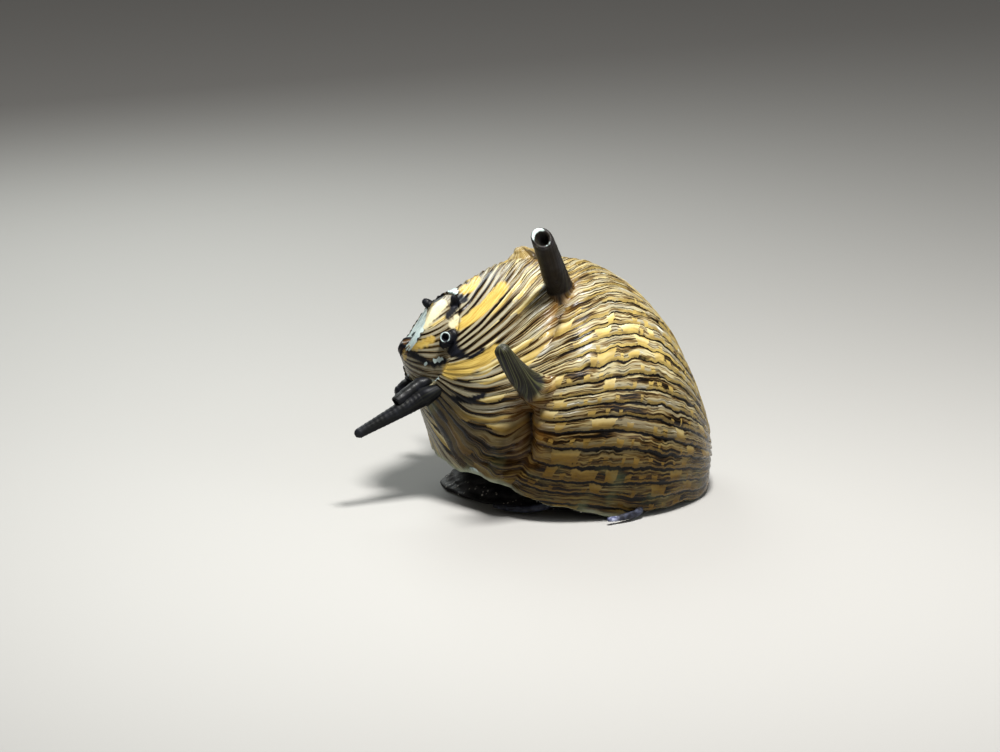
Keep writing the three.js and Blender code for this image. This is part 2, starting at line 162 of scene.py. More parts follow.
def leads(row):
    # How far the old growth lines and the growing edge lead at a row.
    plain = np.exp(-row / coil["edgeFall"])
    old = coil["edgeLead"] * plain * (1 - coil["edgeKink"] * smooth(0.27, 0.55, row))
    return old, coil["lipLead"] * (plain ** -6 + coil["lipTop"] ** -6) ** (-1 / 6)


def edgeTurn(row, growth):
    old, new = leads(row)
    return coil["edgeTurn"] + old + (new - old) * smooth(-160, 0, growth)


def growthAt(turn, row):
    # The growth line that passes a turn of the whorl at a row.
    line = np.linspace(-900, 0, 1801)
    return float(np.interp(turn, line + edgeTurn(row, line), line))


# Growth lines are lines of one growth value: 0 at the edge of the shell, less on older shell.
hornGrowth = [growthAt(coil["hornTurn"] - k * coil["hornStep"], coil["hornRow"]) for k in range(8)]


def afterHorn(growth, reach):
    total = np.zeros_like(growth)
    for start in hornGrowth:
        since = growth - start
        total = np.maximum(total, bell(since, np.where(since < 0, 5.0, reach)))
    return total


def besideFurrow(row, growth):
    drift = sum(share * smooth(start, end, growth) for start, end, share in coil["furrowDrift"])
    return row - coil["furrowRow"] + coil["furrowShift"] * drift


def furrow(row, growth):
    away = besideFurrow(row, growth)
    valley, crease = (depth * bell(away, width) for depth, width in (coil["valley"], coil["crease"]))
    depth, middle, length, across, width = coil["dip"]
    dip = depth * bell(growth - middle, length) * bell(row - across, width)
    height, start, end, place, width = coil["lumps"]
    lumps = height * smooth(start, end, growth) * bell(away - place, width)
    lumps = lumps * (grain(growth / 4, row * 70) - 0.5)
    return valley * (0.35 + 1.2 * afterHorn(growth, 24.0)) + crease * afterHorn(growth, 30.0) - lumps + dip


def bodyPoint(growth, row):
    turn = growth + edgeTurn(row, growth)
    turn = np.where(turn < coil["closeTo"] - 360, turn + 360, turn)
    closed = smooth(coil["closeFrom"], coil["closeTo"], turn)
    scale = np.exp(growthRate * np.radians(turn) - closed * math.log(coil["growth"]))
    x, y, outX, outY = profileAt(row)
    pressed = furrow(row, growth)
    x, y = x - outX * pressed, y - outY * pressed
    behind = np.maximum(0, -np.sin(np.radians(turn)))
    gather = smooth(coil["baseFrom"] - coil["baseBack"] * behind, 1, row)
    swell = coil["baseSwell"] + (coil["baseSwellBack"] - coil["baseSwell"]) * behind
    atLip = smooth(55, 95, turn) - smooth(150, coil["closeTo"], turn)
    flare = 1 + coil["flare"] * atLip * smooth(0.68, 0.92, row)
    radius = y * flare * (scale + (coil["baseSize"] - scale) * gather * swell)
    slope = coil["lean"] * np.cos(np.radians(turn - coil["leanTurn"]))
    down = x * (scale + (coil["baseSize"] - scale) * gather) - radius * slope * smooth(0.66, 0.87, row)
    return axisPoint(down, np.maximum(radius, 0), turn)


def oldPoint(growth, row):
    turn = growth + edgeTurn(row, growth)
    scale = np.exp(growthRate * np.radians(turn))
    x, y = profileAt(row)[:2]
    return axisPoint(x * scale, y * scale, turn)


def ribPhase(growth, row):
    # Ribs climb towards each horn along the furrow, and their edges are wavy and toothed.
    def waves(length, across, shiftX=0, shiftY=0):
        return grain(growth / length + shiftX, row * across + shiftY) - 0.5

    away = besideFurrow(row, growth)
    climb = sum(degrees * bell(away, reach) for degrees, reach in coil["ribClimb"])
    return ((growth + afterHorn(growth, 28.0) * climb) / coil["ribStep"]
            + 0.8 * waves(17, 3, 40) + 0.4 * waves(15, 13, 0, 9)
            + 0.3 * (1 - 0.5 * smooth(-60, -10, growth)) * waves(8, 34, 0, 3)
            + 0.9 * smooth(-55, -20, growth) * smooth(0.32, 0.2, row) * waves(9, 38, 3)
            + 0.16 * smooth(0.24, 0.36, row) * waves(5, 90, 7, 5))


# Mesh helpers.
def placed(name, data):
    piece = bpy.data.objects.new(name, data)
    bpy.context.collection.objects.link(piece)
    return piece


def single(values):
    return values.astype(np.float32).ravel()


def gridMesh(name, points, masks=None, wrap=False):
    # Rows and columns of points; the masks give the pattern's UV map and its attributes.
    rows, columns = points.shape[:2]
    mesh = bpy.data.meshes.new(name)
    i, j = np.meshgrid(np.arange(rows - 1), np.arange(columns if wrap else columns - 1), indexing="ij")
    low, high, nextJ = i * columns, (i + 1) * columns, (j + 1) % columns
    faces = np.stack([low + j, low + nextJ, high + nextJ, high + j], -1).reshape(-1, 4)
    mesh.from_pydata((points * mm).reshape(-1, 3).tolist(), [], faces.tolist())
    if masks:
        uv = np.stack([masks["phase"], masks["across"]], -1).reshape(-1, 2)
        mesh.uv_layers.new(name="growth").data.foreach_set("uv", single(uv[faces.ravel()]))
    for label, values in (masks or {}).items():
        mesh.attributes.new(label, "FLOAT", "POINT").data.foreach_set("value", single(values))
    mesh.shade_smooth()
    return placed(name, mesh)


def editMesh(piece, change):
    work = bmesh.new()
    work.from_mesh(piece.data)
    change(work)
    work.to_mesh(piece.data)
    work.free()
    piece.data.update()


def applied(piece):
    # The piece's evaluated shape becomes its own plain mesh.
    graph, old = bpy.context.evaluated_depsgraph_get(), piece.data
    mesh = bpy.data.meshes.new_from_object(piece.evaluated_get(graph), preserve_all_data_layers=True,
                                           depsgraph=graph)
    piece.modifiers.clear()
    piece.data = mesh
    bpy.data.meshes.remove(old)


# Node helpers, which add to the tree that was begun last.
begun = {}


def begin(tree):
    begun["tree"] = tree
    return tree


def fed(node, values):
    for key, value in values.items():
        if isinstance(value, bpy.types.NodeSocket):
            begun["tree"].links.new(value, node.inputs[key])
        else:
            node.inputs[key].default_value = value
    return node


def addNode(kind, values=None, **settings):
    node = begun["tree"].nodes.new(kind)
    for key, value in settings.items():
        setattr(node, key, value)
    return fed(node, values or {})


def maths(operation, *values):
    return addNode("ShaderNodeMath", dict(enumerate(values)), operation=operation).outputs[0]


def scaled(value, factor, offset):
    return maths("MULTIPLY_ADD", value, factor, offset)


def without(value):
    return maths("SUBTRACT", 1.0, value)


def times(*values):
    result = values[0]
    for value in values[1:]:
        result = maths("MULTIPLY", result, value)
    return result


def ramped(value, low, high, first=0.0, last=1.0):
    return addNode("ShaderNodeMapRange", {0: value, 1: low, 2: high, 3: first, 4: last},
                   interpolation_type="SMOOTHSTEP").outputs[0]


def mixed(share, a, b, blend="MIX"):
    return addNode("ShaderNodeMix", {0: share, 6: a, 7: b}, data_type="RGBA", blend_type=blend).outputs[2]


def vector(x=0.0, y=0.0, z=0.0):
    return addNode("ShaderNodeCombineXYZ", {0: x, 1: y, 2: z}).outputs[0]


def noisy(place, scale=1.0, detail=2.0, rough=0.5):
    return addNode("ShaderNodeTexNoise",
                   {"Vector": place, "Scale": scale, "Detail": detail, "Roughness": rough}).outputs["Fac"]


def newGroup(name, kind, inputs, outputs):
    # Sockets are given as label, type and, where they have one, value.
    tree = begin(bpy.data.node_groups.new(name, kind))
    for side, sockets in (("INPUT", inputs), ("OUTPUT", outputs)):
        for label, form, *value in sockets:
            socket = tree.interface.new_socket(label, in_out=side, socket_type="NodeSocket" + form)
            if value:
                socket.default_value = value[0]
    return tree, tree.nodes.new("NodeGroupInput").outputs


# Ribs raised along the growth lines.
def ribTree():
    tree, source = newGroup("ribRelief", "GeometryNodeTree", (
        ("Geometry", "Geometry"), ("Rib Height", "Float", 0.1), ("Edge Sharpness", "Float", 9.0),
        ("Unevenness", "Float", 0.6), ("Fine Ribs", "Float", 0.01), ("Seed", "Int", 3),
        ("Material", "Material")), [("Geometry", "Geometry")])

    def named(label):
        return addNode("GeometryNodeInputNamedAttribute", {"Name": label}, data_type="FLOAT").outputs[0]

    phase, across, strength = named("phase"), named("across"), named("strength")
    rib = maths("FLOOR", phase)

    def hillOf(value):
        part = maths("FRACT", value)
        return times(maths("POWER", part, 0.6), without(maths("POWER", part, source["Edge Sharpness"])))

    # Next to the suture the ribs are broader.
    hill = addNode("ShaderNodeMix", {0: ramped(across, 1.8, 3.6, 1.0, 0.0), 2: hillOf(phase),
                                     3: hillOf(times(phase, 0.52))}).outputs[0]
    lot = addNode("FunctionNodeRandomValue", {"ID": rib, "Seed": source["Seed"]},
                  data_type="FLOAT").outputs[1]
    wander = maths("ADD", lot, noisy(vector(times(across, 0.55), times(rib, 7.3))))
    wander = scaled(wander, source["Unevenness"], without(source["Unevenness"]))
    fine = times(maths("SINE", times(phase, 18.85)), source["Fine Ribs"])
    height = scaled(times(hill, wander), source["Rib Height"], fine)
    height = times(height, strength, mm)
    way = addNode("GeometryNodeInputNormal").outputs[0]
    offset = addNode("ShaderNodeVectorMath", {0: way, "Scale": height}, operation="SCALE").outputs[0]
    moved = addNode("GeometryNodeSetPosition", {"Geometry": source["Geometry"], "Offset": offset}).outputs[0]
    whole = addNode("GeometryNodeRealizeInstances", {"Geometry": moved}).outputs[0]
    dressed = addNode("GeometryNodeSetMaterial", {"Geometry": whole, "Material": source["Material"]})
    addNode("NodeGroupOutput", {"Geometry": dressed.outputs[0]})
    return tree


ribs = ribTree()


def raiseRibs(piece, material, height, fine):
    modifier = piece.modifiers.new("ribs", "NODES")
    modifier.node_group = ribs
    values = {"Material": material, "Rib Height": height, "Fine Ribs": fine}
    for item in ribs.interface.items_tree:
        if item.in_out == "INPUT" and item.name in values:
            modifier[item.identifier] = values[item.name]
    applied(piece)
    piece.data.shade_smooth()


# Materials.
def newMaterial(name):
    material = bpy.data.materials.new(name)
    material.use_nodes = True
    return material, begin(material.node_tree).nodes["Principled BSDF"]


def patternGroup():
    # Blocks, teeth and dark lines that follow the growth lines of the UV map "growth".
    tree, source = newGroup("growthPattern", "ShaderNodeTree", (
        ("Yellow", "Color", (0.44, 0.325, 0.10, 1)), ("Pale", "Color", (0.70, 0.63, 0.36, 1)),
        ("Brown", "Color", (0.13, 0.08, 0.028, 1)), ("Straw", "Color", (0.50, 0.445, 0.25, 1)),
        ("Grey", "Color", (0.28, 0.255, 0.175, 1)), ("Dark", "Color", (0.006, 0.004, 0.0025, 1)),
        ("Glint", "Color", (0.66, 0.67, 0.60, 1)), ("Yellow Share", "Float", 0.4),
        ("Line Width", "Float", 0.13)), (("Color", "Color"), ("Roughness", "Float"), ("Height", "Float")))
    uv = addNode("ShaderNodeUVMap", uv_map="growth").outputs[0]
    phase, across, _ = addNode("ShaderNodeSeparateXYZ", {0: uv}).outputs
    ragged = noisy(vector(times(across, 5.0), times(phase, 1.5)), 1.0, 3.0, 0.7)
    wobbled = maths("ADD", phase, scaled(ragged, 0.2, -0.1))
    rib, part = maths("FLOOR", wobbled), maths("FRACT", wobbled)
    ramp = ramped(across, 5.2, 7.2, 1.0, 0.0)

    def cells(scale, seed, share, breadth, spread, slope):
        # One patch in some of the cells of each rib, narrower towards the rib's edge.
        place = scaled(rib, 3.37 + seed, scale)
        cell, local = maths("FLOOR", place), maths("FRACT", place)
        lots = addNode("ShaderNodeTexWhiteNoise", {"Vector": vector(cell, rib, seed)}).outputs["Color"]
        lots = addNode("ShaderNodeSeparateXYZ", {0: lots}).outputs
        half = times(scaled(lots[1], spread, breadth), scaled(part, -slope, 1.1))
        away = maths("ABSOLUTE", maths("SUBTRACT", local, scaled(lots[2], 0.3, 0.35)))
        inside = maths("ADD", maths("SUBTRACT", half, away), scaled(ragged, 0.24, -0.12))
        return times(ramped(inside, -0.015, 0.02), ramped(maths("SUBTRACT", share, lots[0]), 0.0, 0.01))

    region = noisy(vector(times(phase, 0.3), times(across, 0.25)), 1.0, 1.0)
    share = scaled(maths("SUBTRACT", region, 0.5), 1.3, source["Yellow Share"])
    plain = times(ramped(phase, -19.0, -12.5, 1.0, 0.0), ramped(across, 5.4, 7.0))
    share = scaled(plain, -0.55, share)
    # Next to the suture the patches are long; from the furrow on they are short.
    stretched = scaled(maths("MAXIMUM", maths("SUBTRACT", across, 5.6), 0.0), 0.36, times(across, 0.21))
    blocks = times(cells(stretched, 1.0, share, 0.13, 0.3, 0.45), ramped(across, 0.9, 2.4))
    teeth = times(cells(times(across, 1.25), 5.0, maths("ADD", share, 0.12), 0.1, 0.22, 0.5), without(ramp),
                  ramped(part, 0.42, 0.5))
    fringe = times(ramped(part, 0.74, 0.82), ramped(noisy(vector(times(across, 0.7), rib)), 0.42, 0.5),
                   without(ramp), scaled(plain, -0.6, 1.0))
    yellow = maths("MAXIMUM", maths("MAXIMUM", blocks, teeth), fringe)
    # Ground: fine streaks along the growth lines, darker and greyer next to the suture.
    streak = noisy(vector(times(across, 0.5), times(phase, 6.5)), 1.0, 3.0, 0.6)
    tone = noisy(vector(times(across, 0.35), times(phase, 1.3)), 1.0, 2.0)
    light = maths("ADD", streak, scaled(tone, 0.9, -0.45))
    suture = ramped(across, 1.6, 4.6, 1.0, 0.0)
    band = scaled(maths("SINE", times(phase, 0.52 * 6.2832)), 0.5, 0.5)
    light = addNode("ShaderNodeMix", {0: times(suture, 0.6), 2: light, 3: band}).outputs[0]
    pale = mixed(ramped(scaled(suture, 0.3, tone), 0.45, 0.62), source["Straw"], source["Grey"])
    ground = mixed(ramped(light, 0.34, 0.46), source["Dark"], source["Brown"])
    ground = mixed(ramped(light, 0.43, 0.6), ground, pale)
    # Painted glints on the palest streaks, away from the suture.
    ground = mixed(times(ramped(light, 0.68, 0.76), without(suture)), ground, source["Glint"])
    shade = noisy(vector(times(phase, 2.6), times(across, 1.2)), 1.0, 3.0)
    gold = mixed(ramped(shade, 0.35, 0.75, 0.0, 0.6), source["Yellow"], source["Brown"])
    gold = mixed(times(ramped(part, 0.1, 0.7, 1.0, 0.0), ramped(tone, 0.35, 0.6)), gold, source["Pale"])
    colour = mixed(yellow, ground, gold)
    # Broken dark lines inside the ribs, and a ragged dark line in each groove that is partly the shell's own
    # line and partly painted shadow under the rib's overhang, so it is wider on that side.
    breadth = noisy(vector(times(across, 0.9), times(rib, 5.1)), 1.0, 2.0)
    lower = without(times(suture, 0.8))
    inner = maths("ABSOLUTE", maths("SUBTRACT", maths("FRACT", scaled(part, 3.0, tone)), 0.5))
    inner = times(ramped(inner, 0.06, 0.17, 1.0, 0.0), ramped(breadth, 0.45, 0.55),
                  without(times(blocks, 0.9)), lower, 0.85)
    colour = mixed(inner, colour, source["Dark"])
    width = times(source["Line Width"], scaled(breadth, 3.0, -0.4), ramped(phase, -19.0, -4.0, 0.42, 1.0))
    edge = maths("MINIMUM", part, times(without(part), 2.2))
    line = ramped(maths("SUBTRACT", edge, width), -0.05, 0.04, 1.0, 0.0)
    line = times(line, without(times(blocks, ramp, 0.8)), lower)
    colour = mixed(line, colour, source["Dark"])
    addNode("NodeGroupOutput", {"Color": colour, "Roughness": scaled(shade, 0.3, 0.1),
                                "Height": scaled(streak, 0.5, times(shade, 0.4))})
    return tree


pattern = patternGroup()


def objectPlace():
    return addNode("ShaderNodeTexCoord").outputs["Object"]


def mask(label):
    return addNode("ShaderNodeAttribute", attribute_name=label).outputs["Fac"]


def shellMaterial(name, gleam=0.0, **values):
    material, shader = newMaterial(name)
    colour, rough, streaks = addNode("ShaderNodeGroup", values, node_tree=pattern).outputs
    place = objectPlace()
    recent, black = ramped(mask("recent"), 0.0, 1.0, 0.0, 0.95), mask("black")
    green = times(ramped(noisy(place, 480.0, 4.0), 0.52, 0.72), recent, mask("tinge"))
    gold = mixed(ramped(streaks, 0.3, 0.6), (0.36, 0.22, 0.04, 1), (0.62, 0.46, 0.125, 1))
    cream = mixed(ramped(streaks, 0.3, 0.42), (0.25, 0.19, 0.08, 1), (0.58, 0.53, 0.34, 1))
    amber = mixed(noisy(place, 1100.0, 3.0), (0.03, 0.011, 0.002, 1), (0.24, 0.10, 0.012, 1))
    night = mixed(ramped(noisy(place, 900.0, 3.0), 0.4, 0.75), (0.003, 0.0033, 0.005, 1),
                  (0.011, 0.012, 0.018, 1))
    night = mixed(times(ramped(streaks, 0.42, 0.56), gleam), night, (0.075, 0.08, 0.034, 1))
    worn = maths("ADD", noisy(place, 420.0, 4.0, 0.6), times(mask("worn"), 0.5))
    pearl = mixed(noisy(place, 1500.0, 2.0), (0.30, 0.42, 0.44, 1), (0.62, 0.70, 0.66, 1))
    # The first layer multiplies the colour darker and warmer towards the lip and the base: partly the newer
    # shell's tint, partly painted shade.
    layers = ((recent, (0.26, 0.185, 0.06, 1), "MULTIPLY"), (green, (0.13, 0.16, 0.08, 1)),
              (mask("gold"), gold), (mask("cream"), cream), (times(mask("amber"), 0.85), amber),
              (black, night), (ramped(worn, 0.86, 0.92), pearl), (mask("rim"), (0.36, 0.40, 0.29, 1)))
    for share, paint, *blend in layers:
        colour = mixed(share, colour, paint, *blend)
    bump = addNode("ShaderNodeBump", {"Height": streaks, "Strength": 0.35, "Distance": 0.00006})
    rough = maths("MAXIMUM", rough, times(black, 0.45))
    fed(shader, {"Base Color": colour, "Roughness": rough, "Normal": bump.outputs[0],
                 "Specular IOR Level": 0.13, "Coat Weight": 0.02, "Coat Roughness": 0.15})
    return material


shellFinish = shellMaterial("shell")
spireFinish = shellMaterial("spire", **{"Yellow Share": 0.1, "Line Width": 0.2,
                                        "Straw": (0.42, 0.39, 0.27, 1)})
hornFinish = shellMaterial("horn", gleam=0.12)
ribbedFinish = shellMaterial("ribbedHorn", gleam=1.0)
print("materials ready")

# The photo's view, which the camera takes and the single marks are placed in.
view = {
    "target": (-4.61, 2.08, 7.92),
    "distance": 400,
    "pitch": 14.7,
    "lens": 201.6,
    "sensor": 36,
}

# Single marks by kind: radius, and places across and up in that view, in millimetres from the origin.
marks = {"gold": (    # bands and patches on the ramp and the spire
    (0.30, (-7.2, 14.3), (-6.6, 14.5), (-6.3, 15.0)),
    (0.38, (-7.5, 11.8), (-6.7, 12.3), (-5.9, 12.9), (-5.3, 13.5), (-4.4, 14.5)),
    (0.55, (-8.2, 8.5), (-6.9, 8.8)),
    (0.42, (-6.9, 8.8), (-5.8, 9.3), (-4.8, 10.0)),
    (0.26, (-9.5, 10.8), (-10.3, 10.4), (-10.8, 10.3)),
    (0.15, (-9.5, 13.4)),
    (0.12, (-11.4, 10.0), (-11.4, 9.5)),
), "cream": (    # patches near the apex
    (0.34, (-8.8, 13.3), (-9.5, 12.5), (-10.1, 11.8)),
    (0.26, (-7.6, 12.3), (-8.0, 11.8)),
    (0.18, (-9.4, 7.7), (-10.0, 7.6)),
), "black": (    # along the suture, round the knobs and at the left of the furrow
    (0.13, (-8.8, 13.9), (-9.3, 13.5)),
    (0.22, (-7.6, 13.4), (-8.3, 12.5)),
    (0.20, (-7.5, 13.8), (-7.1, 13.6)),
    (0.38, (-8.0, 11.2), (-8.0, 10.0), (-7.5, 9.8)),
    (0.12, (-7.5, 9.8), (-6.7, 9.5), (-5.8, 10.1)),
    (0.20, (-10.3, 11.5), (-10.6, 10.8)),
    (0.20, (-11.1, 9.9), (-10.1, 9.3), (-9.3, 9.0), (-8.6, 9.3)),
    (0.13, (-10.3, 12.6), (-11.2, 11.0)),
    (0.22, (-7.8, 6.6), (-6.8, 6.4), (-5.8, 6.8)),
), "pearl": (    # where the apex is worn
    (0.33, (-10.1, 13.0), (-10.2, 12.3), (-10.5, 11.4), (-11.2, 10.3)),
    (0.24, (-8.1, 14.3), (-7.8, 14.2)),
    (0.16, (-9.2, 9.3), (-8.8, 9.4)),
    (0.12, (-9.9, 9.1)),
    (0.10, (-9.0, 8.0), (-9.5, 7.8)),
    (0.10, (-11.1, 8.2)),
), "nacre": (    # thin mother of pearl on the crest and at the rim
    (0.40, (-4.1, 17.1), (-3.2, 17.7)),
    (0.16, (-9.6, 3.1), (-8.5, 2.0)),
    (0.20, (-6.8, 1.6), (-4.6, 0.6)),
    (0.16, (-3.2, 0.3), (-1.4, -0.7)),
)}
markEdge = {"ragged": 0.12, "soft": 0.05, "nearSide": (-0.2, -1.6)}


def inView(points):
    # Across and up in the view, and how far behind its target.
    pitch = math.radians(view["pitch"])
    up, ahead = (0, math.sin(pitch), math.cos(pitch)), (0, math.cos(pitch), -math.sin(pitch))
    axes = np.array([(1, 0, 0), up, ahead])
    middle = np.array(view["target"]) @ axes.T
    seen = points @ axes.T - middle
    shown = middle[:2] + seen[..., :2] / (1 + seen[..., 2:] / view["distance"])
    return shown, seen[..., 2]


def marked(kind, points):
    spots, behind = inView(points)
    values = np.zeros(points.shape[:-1])
    ragged = markEdge["ragged"] * (grain(points[..., 0] * 4 + 30, points[..., 2] * 5) - 0.5)
    for size, *line in marks[kind]:
        line = np.array(line if len(line) > 1 else line * 2)
        for a, b in zip(line[:-1], line[1:]):
            share = np.clip((spots - a) @ (b - a) / max((b - a) @ (b - a), 1e-6), 0, 1)
            far = np.linalg.norm(spots - a - (b - a) * share[..., None], axis=-1) + ragged
            values = np.maximum(values, smooth(size * 1.1 + markEdge["soft"], size * 0.85, far))
    return values * smooth(*markEdge["nearSide"], behind)


# Body whorl.
body = {
    "columns": 620,
    "rows": 148,
    "ribHeight": 0.2,
    "fineRibs": 0.008,
    "edge": ((-16, 2.85), (-6, 2.7), (2.5, 0.4), (16, 0.4)),       # x and height of the shell's edge
    "fold": ((0.45, 0.7), (0.14, 0.12)),                            # inward and down, at the suture
    "lipMiddle": (0.0, 1.5),
    "lipReach": 4.2,
    "lipSteps": (                # inward, up, pale
        (0.1, -0.06, 1.0), (0.16, 0.0, 1.0), (0.12, 0.12, 0.7), (0.25, 1.5, 0.0), (4.0, 0.2, 0.0)),
}
acrossScale = 22.0               # millimetres of profile, for patterns

rowLine = np.linspace(0, 1, 400)
density = 1 + 2.2 * bell(rowLine - 0.27, 0.05)
rowLine = np.interp(np.linspace(0, 1, body["rows"] + 1), np.cumsum(density) / density.sum(), rowLine) * 0.995
row, share = np.meshgrid(rowLine, np.linspace(0, 1, body["columns"] + 1), indexing="ij")
# Once round the axis: from the edge back to the line that lies one turn behind it.
growth = (share - 1) * (360 + leads(row)[0] - leads(row)[1])


def bodyMasks(growth, row, point=bodyPoint):
    old, new = leads(row)
    seam = smooth(0, 2.5, -growth) * smooth(0, 4, growth + 360 + old - new)
    spread = np.clip(1 + edgeTurn(row, growth + 0.5) - edgeTurn(row, growth - 0.5), 0.2, 1)
    strength = (1 - smooth(0.9, 0.985, row)) * seam * spread * (0.55 + 0.45 * smooth(0.05, 0.3, row))
    points, away = point(growth, row), besideFurrow(row, growth)
    painted = {label: marked(label, points) for label in marks}
    # Painted shade: a dark line along the deep crease below each horn, added to the black mask.
    creaseShade = bell(away, 0.009) * afterHorn(growth, 26.0)
    return {"phase": ribPhase(growth, row), "across": row * acrossScale, "strength": strength,
            # Darker, warmer shell towards the lip and the base: partly the newer shell's olive-brown tint,
            # partly painted shade on the lower shell.
            "recent": np.maximum(smooth(-80, -5, growth), 0.75 * smooth(0.86, 0.985, row)),
            "tinge": 0.4 * smooth(-30, -8, growth), "rim": np.zeros_like(row),
            # Amber along the furrow valley after each horn: partly the shell's own amber, partly painted
            # shade in the valley.
            "amber": 0.95 * bell(away, 0.042) * afterHorn(growth, 25.0),
            "black": np.maximum(creaseShade, painted["black"]), "gold": painted["gold"], "cream": painted["cream"],
            "worn": np.maximum(1.2 * painted["pearl"], 0.7 * painted["nacre"])}


def tucked(points, masks):
    # Two more rows at the suture, which turn the shell's upper edge down into the older whorl.
    first = points[:1]
    inward = unit(pole + along * ((first - pole) @ along)[..., None] - first)
    fold = [first + inward * step - along * drop for step, drop in body["fold"]]
    masks = {label: np.vstack([values[:1], values[:1], values]) for label, values in masks.items()}
    masks["strength"][:2] = 0
    return np.vstack(fold + [points]), masks


shell = gridMesh("bodyWhorl", *tucked(bodyPoint(growth, row), bodyMasks(growth, row)))
raiseRibs(shell, shellFinish, body["ribHeight"], body["fineRibs"])


def edgeLevel(v):
    x, y = v.co.x / mm, v.co.y / mm
    level = float(np.interp(x, *zip(*body["edge"])))
    wave = 0.10 * math.sin(1.1 * x + 0.4) + 0.06 * math.sin(2.9 * x + 1.7) + 0.05 * math.sin(2.3 * y)
    return level + wave - 0.05


def trimAndLip(work):
    bmesh.ops.remove_doubles(work, verts=work.verts, dist=2e-6)
    for v in work.verts:
        v.co.z -= edgeLevel(v) * mm
    geometry = list(work.verts) + list(work.edges) + list(work.faces)
    bmesh.ops.bisect_plane(work, geom=geometry, plane_co=(0, 0, 0), plane_no=(0, 0, -1), clear_outer=True,
                           dist=1e-7)
    for v in work.verts:
        v.co.z += edgeLevel(v) * mm
    work.normal_update()
    pale = work.verts.layers.float["rim"]
    for v in work.verts:
        x, above = v.co.x / mm, v.co.z / mm - edgeLevel(v)
        patchy = 0.6 + 0.8 * grain(np.array(x * 1.3 + 30), np.array(0.5))
        along = smooth(-2.5, -5.0, x) + 0.5 * smooth(0.5, 2.0, x) * smooth(5.0, 3.0, x)
        v[pale] = float(smooth(0.38, 0.05, above) * min(0.9, along * patchy))
    middle = Vector((*body["lipMiddle"], 0)) * mm
    for inward, rise, rim in body["lipSteps"]:
        edges = [e for e in work.edges if e.is_boundary and e.verts[0].co.z < body["lipReach"] * mm]
        made = bmesh.ops.extrude_edge_only(work, edges=edges)
        for v in (v for v in made["geom"] if isinstance(v, bmesh.types.BMVert)):
            toMiddle = middle - v.co
            toMiddle.z = 0
            v.co += (toMiddle.normalized() * inward + Vector((0, 0, rise))) * mm
            v[pale] = rim


editMesh(shell, trimAndLip)
shell.data.shade_smooth()
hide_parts("shell_body_whorl")
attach(shell, "root")
print("body whorl", len(shell.data.polygons))

# Spire.
spire = {
    "turns": (-900, -80),
    "columns": 520,
    "rows": 44,
    "lastRow": 0.5,
    "ribHeight": 0.07,
    "fineRibs": 0.004,
    "knobRibs": (0.03, 0.002),   # the same two heights on the knobs
    "apexBack": 1.4,             # of the worn dome's centre down the axis from the pole
    "apexDrop": 1.85,
    "apexSize": 0.82,
}
knobs = (                        # turn, row, length, width, tip, hollow, pearl at the tip, blackness
    (-276, 0.18, 0.85, 1.15, 0.8, 0.25, 0.75, 1.0),
    (-394, 0.10, 0.35, 0.8, 0.6, 0.0, 0.0, 1.0),
    (-210, 0.025, 0.6, 0.8, 0.55, 0.0, 1.3, 0.0),
    (-184, 0.19, 1.1, 1.9, 1.2, 0.0, 0.0, 1.0),
    (-330, 0.20, 0.45, 0.7, 0.45, 0.0, 0.2, 0.9),
)


def oldMasks(growth, row):
    turn = growth + edgeTurn(row, growth)
    masks = bodyMasks(growth, row, oldPoint)
    masks["strength"] = 0.7 * np.exp(growthRate * np.radians(turn)) ** 0.5 * smooth(-820, -500, turn)
    masks["worn"] = np.maximum(masks["worn"], smooth(-300, -500, turn) * 0.3)
    masks["black"] = np.maximum(masks["black"], 0.35 * smooth(-300, -600, turn))
    masks["amber"] = masks["amber"] * 0.3
    return masks


def buildSpire():
    turnLine = np.linspace(*spire["turns"], spire["columns"])
    row, turn = np.meshgrid(np.linspace(0, spire["lastRow"], spire["rows"]), turnLine, indexing="ij")
    growth = turn - edgeTurn(row, row * 0 - 900)
    piece = gridMesh("spire", *tucked(oldPoint(growth, row), oldMasks(growth, row)))
    raiseRibs(piece, spireFinish, spire["ribHeight"], spire["fineRibs"])
    return piece


def buildApex():
    lat, lon = np.meshgrid(np.linspace(0.04, 3.1, 40), circle(64), indexing="ij")
    way = np.stack([np.sin(lat) * np.cos(lon), np.sin(lat) * np.sin(lon), np.cos(lat)], -1)
    lumps = grain(way[..., 0] * 2.4 + 9, way[..., 1] * 2.4 + way[..., 2] * 1.9 + 9)
    size = spire["apexSize"] * (0.9 + 0.22 * lumps)
    centre = pole - along * spire["apexBack"] - above * spire["apexDrop"]
    masks = {label: np.zeros_like(lat) for label in bodyMasks(lat, lat)}
    masks.update(black=0.55 + 0.45 * smooth(0.35, 0.5, lumps), worn=0.3 + 0 * lat, amber=1.0 + 0 * lat)
    return gridMesh("apex", centre + way * size[..., None], masks, wrap=True)


